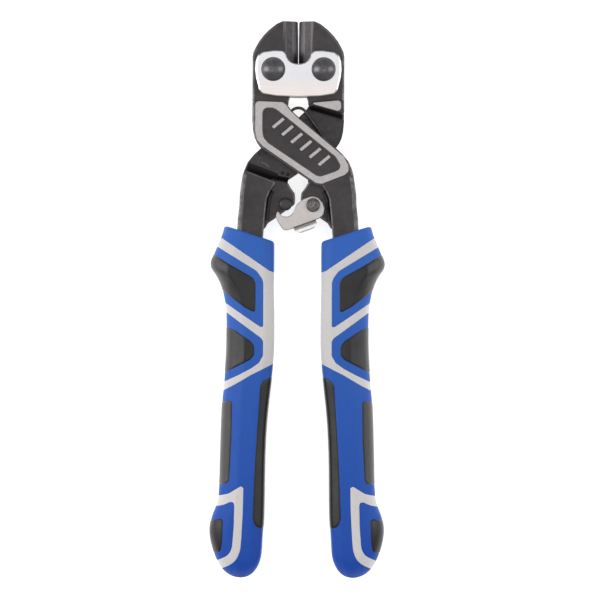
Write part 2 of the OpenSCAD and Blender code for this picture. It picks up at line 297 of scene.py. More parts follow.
class Mat:
    """A small builder of node materials, in the piece's own coordinates."""

    def __init__(self, name, **sockets):
        self.m = bpy.data.materials.new(name)
        self.m.use_nodes = True
        self.nt = self.m.node_tree
        self.nt.nodes.clear()
        self.out = self.nt.nodes.new("ShaderNodeOutputMaterial")
        self.b = self.nt.nodes.new("ShaderNodeBsdfPrincipled")
        self.link(self.b.outputs[0], self.out.inputs[0])
        self.coord = self.nt.nodes.new("ShaderNodeTexCoord").outputs["Object"]
        for k, v in sockets.items():
            self.b.inputs[k.replace("_", " ")].default_value = v

    def link(self, a, b):
        self.nt.links.new(a, b)

    def node(self, kind, **props):
        n = self.nt.nodes.new(kind)
        for k, v in props.items():
            setattr(n, k, v)
        return n

    def scaled(self, x=1.0, y=1.0, z=1.0, turn=0.0):
        n = self.node("ShaderNodeMapping")
        n.inputs["Scale"].default_value = (x, y, z)
        n.inputs["Rotation"].default_value = (0, 0, turn)
        self.link(self.coord, n.inputs["Vector"])
        return n.outputs[0]

    def noise(self, scale, detail=4.0, rough=0.55, vec=None, distort=0.0):
        n = self.node("ShaderNodeTexNoise")
        n.inputs["Scale"].default_value = scale
        n.inputs["Detail"].default_value = detail
        n.inputs["Roughness"].default_value = rough
        n.inputs["Distortion"].default_value = distort
        self.link(vec or self.coord, n.inputs["Vector"])
        return n.outputs["Fac"]

    def voronoi(self, scale, vec=None, feature="F1"):
        n = self.node("ShaderNodeTexVoronoi", feature=feature)
        n.inputs["Scale"].default_value = scale
        self.link(vec or self.coord, n.inputs["Vector"])
        return n.outputs["Distance"]

    def ramp(self, fac, lo, hi, a=0.0, b=1.0):
        """Maps fac from lo..hi to a..b, held at both ends."""
        n = self.node("ShaderNodeMapRange")
        for i, v in enumerate((lo, hi, a, b)):
            n.inputs[i + 1].default_value = v
        self.link(fac, n.inputs[0])
        return n.outputs[0]

    def math(self, op, a, b):
        n = self.node("ShaderNodeMath", operation=op)
        for i, v in enumerate((a, b)):
            if isinstance(v, (int, float)):
                n.inputs[i].default_value = v
            else:
                self.link(v, n.inputs[i])
        return n.outputs[0]

    def mix(self, fac, a, b):
        n = self.node("ShaderNodeMix", data_type="RGBA")
        self.link(fac, n.inputs[0])
        for i, v in ((6, a), (7, b)):
            if isinstance(v, (tuple, list)):
                n.inputs[i].default_value = (*v, 1)
            else:
                self.link(v, n.inputs[i])
        return n.outputs[2]

    def edge(self, radius, lo=0.02, hi=0.25):
        """1 along hard and rounded edges, 0 on the flats."""
        n = self.node("ShaderNodeBevel", samples=4)
        n.inputs["Radius"].default_value = radius * MM
        g = self.node("ShaderNodeNewGeometry")
        d = self.node("ShaderNodeVectorMath", operation="DISTANCE")
        self.link(n.outputs[0], d.inputs[0])
        self.link(g.outputs["Normal"], d.inputs[1])
        return self.ramp(d.outputs["Value"], lo, hi)

    def colour(self, socket):
        self.link(socket, self.b.inputs["Base Color"])
        return self

    def rough(self, socket):
        self.link(socket, self.b.inputs["Roughness"])
        return self

    def bump(self, *layers):
        """layers are (height socket, strength, distance in mm)."""
        last = None
        for h, s, d in layers:
            n = self.node("ShaderNodeBump")
            n.inputs["Strength"].default_value = s
            n.inputs["Distance"].default_value = d * MM
            self.link(h, n.inputs["Height"])
            if last:
                self.link(last, n.inputs["Normal"])
            last = n.outputs[0]
        self.link(last, self.b.inputs["Normal"])
        return self


def srgb(r, g, b):
    f = lambda c: c / 255 / 12.92 if c <= 10 else ((c / 255 + 0.055) / 1.055) ** 2.4
    return f(r), f(g), f(b)


def steel_black(name, dark, light, worn):
    """Black-finished forging: satin, faintly mottled, grain of a blasted
    surface, and bare metal starting to show on its edges."""
    m = Mat(name, Metallic=0.72, Specular_IOR_Level=0.55)
    big = m.noise(90, 3)
    fine = m.noise(1500, 3, 0.6)
    base = m.mix(m.ramp(big, 0.25, 0.72), dark, light)
    pits = m.ramp(m.voronoi(1500), 0.05, 0.22)
    base = m.mix(pits, tuple(c * 0.7 for c in dark), base)
    wear = m.math("MULTIPLY", m.edge(0.3, 0.08, 0.6), m.ramp(m.noise(520, 4, 0.7), 0.5, 0.78))
    m.colour(m.mix(m.math("MULTIPLY", wear, 0.5), base, worn))
    m.rough(m.ramp(m.noise(700, 4), 0.3, 0.7, 0.34, 0.5))
    return m.bump((fine, 0.16, 0.05), (m.noise(240, 2), 0.10, 0.12)).m


LEVER = steel_black("lever_black_finish", srgb(61, 57, 59), srgb(75, 71, 72), srgb(150, 146, 145))
# painted shade: a near-black copy of the lever finish, put on step fillets, dot hollows and the arm's foot
# where shade falls
RECESS_SHADE = steel_black("lever_recess_painted_shade", srgb(20, 18, 19), srgb(28, 25, 26), srgb(44, 42, 42))
RECESS_SHADE.node_tree.nodes["Principled BSDF"].inputs["Metallic"].default_value = 0.35


def blade():
    """Ground cutting bevels: the same dark steel, ground smooth along the edge."""
    m = Mat("blade_ground_dark", Metallic=0.85, Specular_IOR_Level=0.5)
    lines = m.noise(1.0, 3, 0.6, m.scaled(3600, 140, 900))
    m.colour(m.mix(m.ramp(lines, 0.3, 0.7), srgb(66, 64, 67), srgb(84, 82, 85)))
    m.rough(m.ramp(lines, 0.3, 0.7, 0.24, 0.36))
    return m.bump((lines, 0.12, 0.02), (m.noise(900, 2), 0.06, 0.03)).m


BLADE = blade()


def rubbed():
    """The forging's rounded rims, rubbed back towards bare steel, with the
    black finish left in their low spots."""
    m = Mat("lever_rubbed_edge", Metallic=0.9, Specular_IOR_Level=0.5)
    patches = m.noise(310, 4, 0.68)
    m.colour(m.mix(m.ramp(patches, 0.36, 0.66), srgb(88, 85, 86), srgb(120, 117, 117)))
    m.rough(m.ramp(patches, 0.3, 0.7, 0.5, 0.38))
    return m.bump((m.noise(1300, 3), 0.14, 0.04)).m


EDGE = rubbed()



def ground(name, a, b):
    """Ground bright faces: cross-hatched fine scratches and a dry speckle."""
    m = Mat(name, Metallic=0.88, Specular_IOR_Level=0.5)
    lines = m.noise(1.0, 3, 0.6, m.scaled(420, 3000, 400, math.radians(36)))
    dry = m.noise(1250, 4, 0.7)
    specks = m.ramp(m.voronoi(1500), 0.04, 0.22)
    base = m.mix(m.ramp(dry, 0.32, 0.68), a, b)
    m.colour(m.mix(specks, tuple(c * 0.62 for c in a), base))
    m.rough(m.ramp(lines, 0.3, 0.7, 0.38, 0.5))
    return m.bump((lines, 0.06, 0.015), (dry, 0.3, 0.03)).m


GROUND = ground("ground_steel", srgb(181, 177, 176), srgb(196, 192, 191))


def chrome():
    """Satin chrome: near-white, soft polishing lines along X, few dark nicks."""
    m = Mat("plate_satin_chrome", Metallic=0.95, Specular_IOR_Level=0.5)
    lines = m.noise(1.0, 3, 0.55, m.scaled(120, 3000, 800))
    big = m.noise(70, 2)
    base = m.mix(m.ramp(big, 0.3, 0.7), srgb(207, 207, 212), srgb(214, 214, 218))
    # a warmer tone towards the lower edge
    sep = m.node("ShaderNodeSeparateXYZ")
    m.link(m.coord, sep.inputs[0])
    base = m.mix(m.ramp(sep.outputs["Y"], 0.0835, 0.0765), base, srgb(219, 211, 207))
    nick = m.ramp(m.voronoi(430), 0.03, 0.07)
    m.colour(m.mix(nick, srgb(188, 186, 188), base))
    m.rough(m.ramp(lines, 0.3, 0.7, 0.22, 0.28))
    return m.bump((lines, 0.015, 0.01), (big, 0.05, 0.2)).m


CHROME = chrome()


def rivet_metal(name, a, b, mark):
    """Headed rivet steel, with a rough struck mark round the piece's own axis."""
    m = Mat(name, Metallic=0.8, Specular_IOR_Level=0.5)
    sep = m.node("ShaderNodeVectorMath", operation="MULTIPLY")
    sep.inputs[1].default_value = (1, 1, 0)
    m.link(m.coord, sep.inputs[0])
    ln = m.node("ShaderNodeVectorMath", operation="LENGTH")
    m.link(sep.outputs[0], ln.inputs[0])
    near = m.ramp(ln.outputs["Value"], mark * 0.35 * MM, mark * MM, 1.0, 0.0)
    speck = m.ramp(m.noise(1900, 3, 0.7), 0.46, 0.66)
    base = m.mix(m.ramp(m.noise(420, 3), 0.3, 0.7), a, b)
    spot = m.math("MULTIPLY", near, speck)
    base = m.mix(m.math("MULTIPLY", near, 0.75), base, tuple(c * 0.45 for c in a))
    m.colour(m.mix(spot, base, srgb(170, 168, 168)))
    m.rough(m.ramp(m.noise(800, 3), 0.3, 0.7, 0.24, 0.38))
    rough_mark = m.math("MULTIPLY", near, m.noise(1500, 3, 0.7))
    return m.bump((rough_mark, 0.6, 0.12), (m.noise(1300, 2), 0.14, 0.04)).m


DOME = rivet_metal("rivet_head_steel", srgb(94, 92, 95), srgb(112, 110, 113), 1.2)
PIN = rivet_metal("latch_rivet_steel", srgb(88, 84, 83), srgb(112, 107, 106), 1.7)
STUD = steel_black("stud_black_finish", srgb(66, 63, 64), srgb(82, 79, 80), srgb(120, 117, 117))


def zinc():
    """Zinc-plated pressing: dry, slightly warm, mottled, darker where handled."""
    m = Mat("latch_zinc_plate", Metallic=0.7, Specular_IOR_Level=0.4)
    mott = m.noise(420, 4, 0.65)
    base = m.mix(m.ramp(mott, 0.35, 0.68), srgb(203, 196, 195), srgb(219, 212, 210))
    speck = m.ramp(m.voronoi(1100), 0.03, 0.11)
    base = m.mix(speck, srgb(166, 159, 157), base)
    m.colour(m.mix(m.math("MULTIPLY", m.edge(0.25, 0.1, 0.6), 0.5), base, srgb(222, 217, 215)))
    m.rough(m.ramp(mott, 0.3, 0.7, 0.42, 0.56))
    return m.bump((m.noise(1400, 3), 0.16, 0.04), (mott, 0.08, 0.06)).m


ZINC = zinc()


def tab_metal():
    """The pressed tab, burnished by the thumb."""
    m = Mat("latch_tab_burnished", Metallic=0.95, Specular_IOR_Level=0.5)
    lines = m.noise(1.0, 3, 0.6, m.scaled(240, 2600, 900, math.radians(-20)))
    m.colour(m.mix(m.ramp(m.noise(500, 3), 0.3, 0.7), srgb(210, 206, 204), srgb(228, 224, 222)))
    m.rough(m.ramp(lines, 0.3, 0.7, 0.16, 0.28))
    return m.bump((lines, 0.1, 0.02)).m


TAB = tab_metal()
# painted shade: a dark copy of the finish for the tab's steep bend, where its shadow falls
BEND_SHADE = steel_black("latch_bend_painted_shade", srgb(104, 99, 98), srgb(124, 119, 117), srgb(170, 165, 163))


def spring_steel():
    m = Mat("spring_steel_blue", Metallic=0.92, Specular_IOR_Level=0.5)
    lines = m.noise(1.0, 3, 0.6, m.scaled(500, 500, 5200))
    m.colour(m.mix(m.ramp(m.noise(300, 3), 0.3, 0.7), srgb(54, 52, 54), srgb(92, 90, 90)))
    m.rough(m.ramp(lines, 0.3, 0.7, 0.24, 0.4))
    return m.bump((lines, 0.12, 0.02)).m


SPRING = spring_steel()


def plastic(name, a, b, worn, lo, hi, grain, depth, shine, high=None, painted_sheen=None):
    """Moulded grip plastic: spark-eroded grain, slight tone drift along its
    length, a painted lighter top end in the tone high, standing in for light from above, and paler rubs.
    The last argument is the tone of a painted sheen on the steep outer roundings, where the side light
    catches them."""
    m = Mat(name, Metallic=0.0, Specular_IOR_Level=shine, IOR=1.5)
    drift = m.noise(34, 2, vec=m.scaled(1, 0.45, 1))
    g = m.noise(grain, 2, 0.6)
    cells = m.voronoi(grain * 0.8)
    rub = m.ramp(m.noise(210, 4, 0.7), 0.56, 0.74)
    sep = m.node("ShaderNodeSeparateXYZ")
    m.link(m.coord, sep.inputs[0])

    def toned(lo_c, hi_c, rub_c):
        c = m.mix(m.ramp(drift, 0.32, 0.68), lo_c, hi_c)
        c = m.mix(m.ramp(g, 0.36, 0.5), tuple(v * 0.96 for v in lo_c), c)
        return m.mix(m.math("MULTIPLY", rub, 0.2), c, rub_c)

    base = toned(a, b, worn)
    # painted light: towards the top end the tone turns to the paler high, standing in for more light falling
    # there
    if high:
        top = toned(high, tuple(v * 1.06 for v in high), tuple(v * 1.14 for v in high))
        base = m.mix(m.ramp(sep.outputs["Y"], -0.096, 0.022), base, top)
    # painted sheen: steep outer roundings above the end pad are mixed to a paler tone, standing in for the
    # side lights' sheen
    if painted_sheen:
        geo = m.node("ShaderNodeNewGeometry")
        ns = m.node("ShaderNodeSeparateXYZ")
        m.link(geo.outputs["Normal"], ns.inputs[0])
        steep = m.ramp(m.math("ABSOLUTE", ns.outputs["Z"], 0.0), 0.965, 0.78)
        outer = m.ramp(m.math("ABSOLUTE", sep.outputs["X"], 0.0), 0.0222, 0.0262)
        above = m.ramp(sep.outputs["Y"], -0.078, -0.07)
        base = m.mix(m.math("MULTIPLY", m.math("MULTIPLY", steep, outer), above), base, painted_sheen)
    m.colour(base)
    m.rough(m.ramp(m.noise(160, 3), 0.3, 0.7, lo, hi))
    return m.bump((cells, 0.22, depth), (g, 0.12, depth)).m


# high is a painted lighter tone for the top end, where more light falls
BLUE = plastic("grip_blue_plastic", srgb(29, 77, 175), srgb(34, 83, 181), srgb(38, 87, 184), 0.46, 0.56, 2300,
               0.025, 0.18, high=srgb(56, 106, 194))
GREY = plastic("grip_grey_plastic", srgb(219, 215, 215), srgb(224, 221, 220), srgb(228, 225, 224), 0.46, 0.58, 2300, 0.025, 0.3)
# the last tone is a painted sheen for the pads' outer roundings
BLACK = plastic("grip_black_rubber", srgb(20, 19, 21), srgb(27, 26, 28), srgb(36, 34, 36), 0.32, 0.44, 1900,
                0.04, 0.46, painted_sheen=srgb(72, 70, 69))

# ------------------------------------------------------------------ levers

HEAD = [[-0.25, 102.9], [-5.9, 102.9], [-8.1, 101.9], [-10.9, 99.7], [-13, 97.5],
        [-14.6, 95.4], [-15.9, 93.1], [-16.7, 91.4], [-17, 89.7], [-17, 68.2],
        [-4.1, 71.4], [-3.65, 72.4], [-3.55, 73.6], [-3.05, 75.1], [-1.6, 80], [-0.1, 85], [-0.1, 89.7]]
LAND = [[-17, 73.9], [-5.6, 73], [-4.4, 71.5], [-17, 68.2]]
CROSS = [[-17, 73.3], [-5.5, 73], [-4.1, 72], [-3.4, 71], [-2.7, 69.9],
         [0.8, 66.65], [14.3, 55.65], [16.5, 53.6], [18.7, 50.9], [20, 47.9],
         [20.7, 45], [8.8, 42], [6.5, 42.4], [-13.1, 55.5], [-14.2, 56.4],
         [-15.3, 58], [-16.2, 60], [-16.7, 62.4], [-17, 66]]
ARM = [[19.3, 47.5], [20.4, 46.5], [21.1, 42], [21.5, 39], [21.7, 34], [22.2, 30],
       [22.4, 26], [22, 12], [21.8, -10], [22.6, -70], [18.6, -70],
       [14.6, -10], [13.2, 12], [12.9, 23], [12.6, 27], [12.1, 32.5],
       [11.6, 37], [10.5, 39.7], [8.6, 42.6], [8.9, 43.6]]
WEB = [[4, 43.6], [2.5, 41], [1.2, 39.3], [1, 37.5], [1.2, 35.2], [8.2, 30.2],
       [11, 28.3], [12.4, 26], [15, 26], [15, 44.5], [9, 44.5]]
BORDER = [[-15.9, 73.2], [-5.6, 72.8], [-4.3, 71.6], [-3, 69.7], [0.6, 66.35], [13.9, 55.35],
          [17, 52.7], [18.5, 49.6], [18.7, 47.3], [17.2, 46], [8.8, 42.7],
          [6.6, 43], [-12.8, 56.3], [-15.2, 58.8], [-15.9, 62.3]]
PANEL = [[-13.3, 69.4], [-12.2, 70.8], [-9.4, 70.8], [-7.9, 70.1], [14, 52.7],
         [15.7, 49.6], [15.4, 48.1], [13.6, 47.1], [8.2, 45.3], [6.6, 45.8],
         [-11.2, 57.7], [-12.9, 59.8], [-13.3, 62.3]]
POCKET = [[-3, 60], [16, 52], [20, 62], [17, 66.6], [4.2, 70.4], [1, 72.5], [-3, 70]]
OWN_POCKET = [[-2, 72.4], [3.4, 70.9], [7.1, 66.3], [15.5, 55.2], [14, 52.6], [11, 54], [-2, 66]]
PATCH = [[-15.8, 73.6], [-5.9, 72.7], [-5.4, 72.4], [-5.9, 72], [-15.8, 69.3]]
DOTS = [(5.75, 46.85, 0.75), (3.75, 46.35, 0.65)]
SCORES = [[[12.9, 55.1], [14.2, 52.4], [15.2, 50.3]],
          [[14.4, 50.9], [13.2, 50.7], [12, 50.1], [10.7, 49.1]]]
BORDER_TOP = ARM_H + 0.3
PANEL_FLOOR = BORDER_TOP - 0.8
BAR_TOP = PANEL_FLOOR + 0.4


STEPS = [((19.3, 47.5), (8.7, 43.5), 1, 3.4, 2.6), ((9.6, 44.6), (3.9, 43.35), 1, 1.8, 2.2),
         ((-16.35, 68.37), (-4.5, 71.48), -1, 3.0, 2.8)]
ARM_FOOT = [[12.4, 29.2], [12.1, 32.5], [11.6, 37], [10.9, 39], [10, 40.6]]


def step_fillet(a, b, up, wide, high):
    """The hollow fillet at the foot of a step from the lap face up to a thicker
    part, whose edge runs from a to b; it lies on the edge's upper or lower side."""
    a, b = np.array(a), np.array(b)
    d = (b - a) / np.linalg.norm(b - a)
    out = np.array([d[1], -d[0]])
    if out[1] * up < 0:
        out = -out
    prof = [(-0.9, 0.4), (1, 0.4), (1, 0.06), (0.72, -0.05), (0.47, -0.19), (0.27, -0.4),
            (0.12, -0.67), (0.04, -1), (-0.9, -1)]
    prof = [(u if u < 0 else u * wide, z if z > 0 else z * high) for u, z in prof]
    rings = []
    for s in (-0.1, float(np.linalg.norm(b - a)) + 0.1):
        p = a + d * s
        rings.append(np.array([[*(p + out * u), z] for u, z in prof]))
    ob = rings_mesh("t", rings)
    bm = bmesh.new()
    bm.from_mesh(ob.data)
    bmesh.ops.recalc_face_normals(bm, faces=bm.faces)
    bm.to_mesh(ob.data)
    bm.free()
    return ob


def arm_fillet(side):
    """The hollow fillet between the web and the arm's inner wall, on one side."""
    line = np.array(ARM_FOOT)
    t = np.gradient(line, axis=0)
    out = np.stack([-t[:, 1], t[:, 0]], 1) / np.linalg.norm(t, axis=1)[:, None]
    prof = [(-0.7, 2.2), (1.8, 2.2), (1.8, 2.53), (1.3, 2.57), (0.85, 2.7), (0.5, 2.98),
            (0.22, 3.5), (0.05, 4.4), (-0.7, 4.5)]
    rings = [np.array([[*(q + o * u), z * side] for u, z in prof]) for q, o in zip(line, out)]
    ob = rings_mesh("t", rings)
    bm = bmesh.new()
    bm.from_mesh(ob.data)
    bmesh.ops.recalc_face_normals(bm, faces=bm.faces)
    bm.to_mesh(ob.data)
    bm.free()
    return ob


def forging(name):
    """The lever, about its own mid plane at z=0."""
    side = lambda o, q: 0.8 if o[0] < -0.6 or q[0] > 15 and o[0] > 0 else 0.25
    # the far lower edge of the crossing is eased where the other lever's step meets it
    def under(o, q):
        if o[1] > 0.4 and o[0] > 0.3 and -3 < q[0] < 14:
            return 1.2
        return 0.6 if (q[0] > 14 and o[0] > 0.4) or (q[0] < -12 and o[0] < -0.5) else 0.15

    jaw = lambda o, q: 0.75 if o[0] < -0.55 and q[0] < -6 else 0.35
    arm = lambda o, q: 1.6 if o[0] > 0.25 else 0.5
    ob = prism(name, arcs(HEAD, 0.7), -HEAD_H, HEAD_H, jaw, jaw, 3, "both", 0.5)
    boolean(ob, prism("t", arcs(LAND, 0.9), -ARM_H, 0.0, 0.0, 0.6, 4))
    for step in STEPS:
        boolean(ob, step_fillet(*step))
    boolean(ob, prism("t", arcs(CROSS, 2.2), 0.1, ARM_H, side, under, 3, "top", 0.5))
    boolean(ob, prism("t", arcs(ARM, 3.0), -ARM_H, ARM_H, arm, arm, 3, "both", 0.5))
    boolean(ob, prism("t", arcs(WEB, 1.4), -WEB_H, WEB_H, 0.6, 0.6, 3, "both", 0.5))
    for side_z in (1, -1):
        boolean(ob, arm_fillet(side_z))
    boolean(ob, prism("t", arcs(BORDER, 1.5), ARM_H - 0.6, BORDER_TOP, 0.1, 0.0, 2))
    boolean(ob, prism("t", arcs(PATCH, 1.3), -BORDER_TOP, -ARM_H + 0.2, 0.0, 0.1, 2))
    boolean(ob, prism("t", arcs(PANEL, 1.7), PANEL_FLOOR, 9, 0, 0.3, 2), "DIFFERENCE")
    bevel = np.array([[-5.8, HEAD_H + 0.02], [-4.5, 3.3], [-2.35, 2.45], [0.5, 0.2],
                      [0.5, 6], [-5.8, 6]])
    for s in (1, -1):
        p = ccw(bevel * [1, s])
        cut = rings_mesh("t", [np.column_stack([p[:, 0], np.full(len(p), y), p[:, 1]])
                               for y in (110, 87.3)])
        boolean(ob, cut, "DIFFERENCE")
    n = 64
    hole = np.array([[-PX + 3.05 * math.cos(2 * math.pi * i / n),
                      PY + 3.05 * math.sin(2 * math.pi * i / n)] for i in range(n)])
    boolean(ob, prism("t", hole, -12, 12), "DIFFERENCE")
    boolean(ob, prism("t", arcs(np.array(POCKET) * [-1, 1], 1.2), -1, 1.8), "DIFFERENCE")
    boolean(ob, prism("t", arcs(OWN_POCKET, 1.0), -1, 1.8), "DIFFERENCE")
    # small ejector marks and scored lines on the face that the other lever laps
    for x, y, r in DOTS:
        c = np.array([[x + r * math.cos(i * math.pi / 8), y + r * math.sin(i * math.pi / 8)]
                      for i in range(16)])
        boolean(ob, prism("t", c, -1, 0.9), "DIFFERENCE")
    for line in SCORES:
        line = np.array(line)
        t = np.gradient(line, axis=0)
        w = np.stack([-t[:, 1], t[:, 0]], 1) / np.linalg.norm(t, axis=1)[:, None] * 0.17
        boolean(ob, prism("t", ccw(np.vstack([line + w, (line - w)[::-1]])), -1, 0.22), "DIFFERENCE")
    for i in range(6):
        bar = np.array([[-0.9, -2.6], [0.3, -2.6], [1.3, 2.6], [0.1, 2.6]])
        c, s = math.cos(math.radians(-39)), math.sin(math.radians(-39))
        bar = bar @ np.array([[c, s], [-s, c]]) + [-7.5 + i * 3.4, 65.2 - i * 2.75]
        boolean(ob, prism("t", arcs(bar, 0.3), PANEL_FLOOR - 0.3, BAR_TOP, 0.1, 0, 2))
    return ob


def drill(ob, x, y, r):
    n = 48
    c = np.array([[x + r * math.cos(2 * math.pi * i / n), y + r * math.sin(2 * math.pi * i / n)]
                  for i in range(n)])
    return boolean(ob, prism("t", c, -12, 12), "DIFFERENCE")


def inside(poly, x, y):
    hit = False
    for i in range(len(poly)):
        (x0, y0), (x1, y1) = poly[i - 1], poly[i]
        if (y0 > y) != (y1 > y) and x < (x1 - x0) * (y - y0) / (y1 - y0) + x0:
            hit = not hit
    return hit


def run_distance(line, x, y):
    """How far a point is from an open run of points."""
    best = 1e9
    for (x0, y0), (x1, y1) in zip(line, line[1:]):
        dx, dy = x1 - x0, y1 - y0
        t = max(0.0, min(1.0, ((x - x0) * dx + (y - y0) * dy) / (dx * dx + dy * dy)))
        best = min(best, math.hypot(x - x0 - t * dx, y - y0 - t * dy))
    return best


def lever_face(p):
    """1 for the ground tops of the border, the patch and the raised bars, 2 for
    the ground bevels beside the cutting edge, 3 for rubbed rims, 4 for steps and
    recesses painted near-black as shade, 0 for the rest."""
    x, y, z = (v / MM for v in p.center)
    nx, ny, nz = p.normal
    if 0.13 < z < 0.35 and y < 57 and any(run_distance(line, x, y) < 0.25 for line in SCORES):
        return 3
    # painted shade: the floors of the small dots are painted near-black
    if 0.12 < z < 1 and any(math.hypot(x - a, y - b) < r + 0.05 for a, b, r in DOTS):
        return 4
    # painted shade: the fillet at the foot of the arm's inner wall is painted near-black
    if y < 41.5 and 2.45 < abs(z) < 4.5 and abs(nz) < 0.9995 and run_distance(ARM_FOOT, x, y) < 1.75 \
            and not (abs(z) < 2.6 and abs(nz) > 0.998):
        return 4
    # painted shade: the fillets at the feet of the steps are painted near-black
    if nz < 0 and abs(nz) < 0.985:
        if y > 60 and x > -15.9 and -6.3 < z < 0.08 and ny < -0.15:
            return 4
        if 42 < y < 51.5 and -3 < z < 0.08 and ny > 0.15 and x < 19.6:
            return 4
    if abs(nz) > 0.9:
        if abs(z - BORDER_TOP) < 0.06 or abs(z + BORDER_TOP) < 0.06:
            return 1
        if abs(z - BAR_TOP) < 0.03 and inside(PANEL, x, y):
            return 1
    if y > 87.2 and x > -5.9 and abs(z) < HEAD_H - 0.01 and 0.1 < abs(nx) < 0.95 and abs(ny) < 0.05:
        return 2 if x > -2.0 or x < -4.4 else 0
    if -0.93 < nz < -0.22 and 0.1 < z < 0.75 and abs(x) > 12.5:
        return 3
    if 0.22 < abs(nz) < 0.93:
        if abs(z) > 2.0 and not (y > 45 and abs(z) < 2.8):
            return 3
    return 0


def finish_lever(ob, turned):
    tidy(ob)
    paint(ob, LEVER, GROUND, BLADE, EDGE, RECESS_SHADE, pick=lever_face)
    if turned:
        ob.data.transform(Matrix.Rotation(math.pi, 4, "Y"))
    ob.data.transform(Matrix.Translation((0, 0, MID * MM)))
    return ob


front = forging("front_lever_forging")
turned = front.copy()
turned.data = front.data.copy()
turned.name = "rear_lever_forging"
bpy.context.scene.collection.objects.link(turned)
drill(front, LATCH_AT[0], LATCH_AT[1], 1.95)
drill(turned, -STUD_AT[0], STUD_AT[1], 1.65)
finish_lever(front, False)
finish_lever(turned, True)
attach(front, "right_handle")
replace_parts(front, "front_lever")
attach(turned, "left_handle")
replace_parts(turned, "rear_lever")

# ------------------------------------------------------------- link plates

HALF = [[8, 75.1], [13.3, 75.95], [14.5, 77.6], [15.6, 82], [15.9, 85], [15.7, 88],
        [14.9, 90.2], [13.2, 91.3], [9, 91.9], [6, 91.8], [4.9, 91], [4.4, 89.6],
        [3.6, 88.3], [2.4, 87.4], [0.9, 86.95]]
PLATE = [[0, 74.8]] + HALF + [[-x, y] for x, y in HALF[::-1]]


def plate(name, front_side):
    rim = lambda o, q: 0.36 + 0.5 * max(0.0, min(1.0, (abs(q[0]) - 13.9) / 1.6))
    ob = prism(name, arcs(PLATE, 1.6), 0.0, 2.4, rim, 0.15, 4, "top")
    for s in (-1, 1):
        n = 64
        c = np.array([[s * PX + 3.05 * math.cos(2 * math.pi * i / n),
                       PY + 3.05 * math.sin(2 * math.pi * i / n)] for i in range(n)])
        boolean(ob, prism("t", c, -4, 6), "DIFFERENCE")
    tidy(ob, 28)
    if front_side:
        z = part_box("front_link_plate")[0][2]
        ob.data.transform(Matrix.Translation((0, 0, z)))
    else:
        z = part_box("rear_link_plate")[1][2]
        ob.data.transform(Matrix.Rotation(math.pi, 4, "Y"))
        ob.data.transform(Matrix.Translation((0, 0, z)))
    paint(ob, CHROME)
    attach(ob, "head")
    return ob


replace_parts(plate("front_link_plate_chromed", True), "front_link_plate")
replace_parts(plate("rear_link_plate_chromed", False), "rear_link_plate")

# ----------------------------------------------------------- pivot rivets


def dome_profile(top, rad, high, shank):
    """Half of a rivet's profile above its middle, from the shank up the dome."""
    ball = (rad * rad + high * high) / (2 * high)
    prof = [(shank, top - 0.02), (rad - 0.12, top - 0.0), (rad, top + 0.14), (rad, top + 0.22)]
    a0 = math.asin(min(1, rad / ball)) if high < ball else math.pi / 2
    for k in range(1, 25):
        a = a0 * (1 - k / 24)
        z = top + high - ball + ball * math.cos(a)
        z = max(z, top + 0.22)
        r = ball * math.sin(a)
        flat = 0.05 * max(0.0, 1 - r / 1.7)
        prof.append((max(r, 1e-9), z - flat))
    return prof


def struck(r, t, z, seed):
    """The rough pattern a heading tool leaves in the middle of a rivet head."""
    if r > 2.0 or abs(z) < 3:
        return 0.0
    w = (1 - r / 2.0) ** 1.2
    v = math.sin(3 * t + seed) * math.sin(5.1 * r + seed * 2) + 0.6 * math.sin(7 * t - 4 * r + seed * 3)
    return 0.075 * w * v * (1 if z > 0 else -1) - 0.03 * w * (1 if z > 0 else -1)


def pivot(name, at, node, seed):
    half = dome_profile(6.4, 4.45, 2.3, 3.0)
    prof = [(r, -z) for r, z in half[::-1]] + half
    ob = lathe(name, prof, 96, bump=lambda r, t, z: struck(r, t, z, seed))
    ob.location = Vector((at[0], at[1], MID)) * MM
    tidy(ob, 40, weighted=False)
    paint(ob, DOME)
    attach(ob, "head")
    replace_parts(ob, node)
    return ob


pivot("left_pivot_rivet_headed", PIVOT_L, "left_pivot_rivet", 0.7)
pivot("right_pivot_rivet_headed", PIVOT_R, "right_pivot_rivet", 2.1)

# ------------------------------------------------------------------- latch

LATCH = [[-8, 35.3], [-8.8, 33.6], [-8.3, 31.1], [-7.1, 28.3], [-6, 27.7],
         [-3.3, 27.9], [1.5, 28.5], [4.8, 29.3], [6.7, 29.5], [8.5, 30.4],
         [9.5, 32.6], [9.3, 35], [8.1, 37.2], [5.9, 38.3], [2.8, 37.9],
         [0.4, 36.8], [-0.8, 35.8], [-1.55, 34.55], [-2.35, 33.55], [-3.4, 32.9],
         [-4.6, 32.65], [-5.9, 32.95], [-6.75, 33.65], [-7.1, 34.4], [-7.3, 35.1]]
LATCH_R = [0.5, 2, 3, 1.4, 0.6, 4, 6, 3, 2, 2, 2.5, 2.5, 2.5, 2.5, 3, 3, 2, 2, 2, 2, 2, 2,
           1.5, 1, 0.3]


